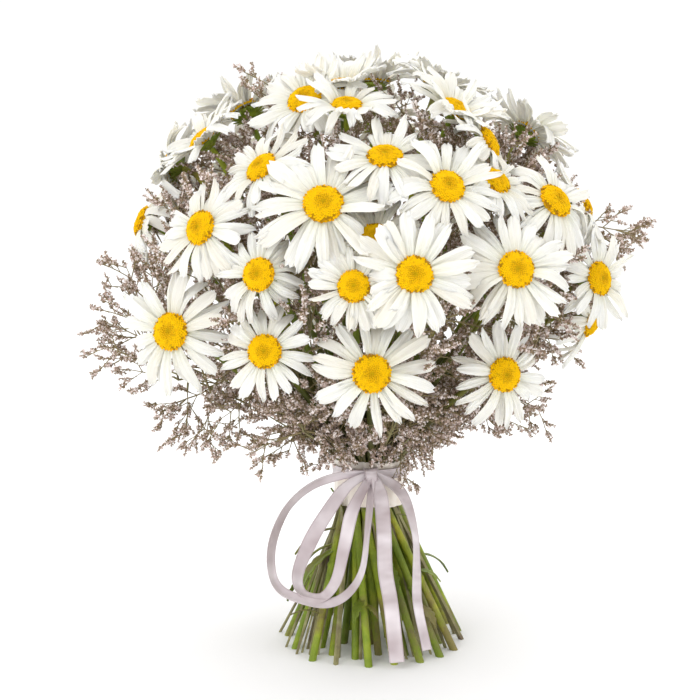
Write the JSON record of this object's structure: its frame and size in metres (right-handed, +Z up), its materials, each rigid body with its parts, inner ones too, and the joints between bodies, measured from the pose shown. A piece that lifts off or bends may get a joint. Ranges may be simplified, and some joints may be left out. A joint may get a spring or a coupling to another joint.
{
  "type": "bunch of daisies",
  "caption": "Hand-tied bunch of white daisies with yellow discs and dried limonium, wrapped in cream satin and tied with a pale lilac ribbon, standing on its level cut stems.",
  "frame": {"origin": "middle of the bunch's bounding box on the level that the cut stem ends stand on", "axes": "+Z up along the bunch from its cut ends to its heads, -Y towards the front with the ribbon's bow, +X to the right seen from the front"},
  "size_m": [0.4074, 0.362, 0.427],
  "materials": {
    "petals": "soft matt, finely ribbed",
    "discs": "granular matt",
    "stems": "fresh green, slightly waxy",
    "limonium": "dry papery",
    "wrap": "cream satin",
    "ribbon": "pale lilac satin"
  },
  "bodies": {
    "root": {"stems": "stems", "wrap": "wrap", "ribbon": "ribbon", "limonium_left_front": "limonium", "limonium_right_front": "limonium", "limonium_right_back": "limonium", "limonium_left_back": "limonium", "petals_1": "petals", "petals_2": "petals", "petals_3": "petals", "petals_4": "petals", "petals_5": "petals", "petals_6": "petals", "petals_7": "petals", "petals_8": "petals", "petals_9": "petals", "petals_10": "petals", "petals_11": "petals", "petals_12": "petals", "petals_13": "petals", "disc_a": "discs", "disc_b": "discs", "disc_c": "discs", "disc_d": "discs", "disc_e": "discs", "disc_f": "discs", "disc_g": "discs", "disc_h": "discs", "disc_i": "discs", "disc_j": "discs", "disc_k": "discs", "disc_l": "discs", "disc_m": "discs", "disc_n": "discs", "disc_o": "discs", "disc_p": "discs", "disc_q": "discs", "disc_r": "discs", "disc_s": "discs", "disc_t": "discs", "disc_u": "discs", "disc_v": "discs", "disc_w": "discs", "disc_x": "discs", "disc_y": "discs", "disc_z": "discs", "disc_aa": "discs", "disc_ab": "discs", "disc_ac": "discs", "disc_ad": "discs", "disc_ae": "discs", "disc_af": "discs", "disc_ag": "discs", "disc_ah": "discs", "disc_ai": "discs", "disc_aj": "discs", "disc_ak": "discs", "disc_al": "discs", "disc_am": "discs", "disc_an": "discs"}
  },
  "joints": []
}
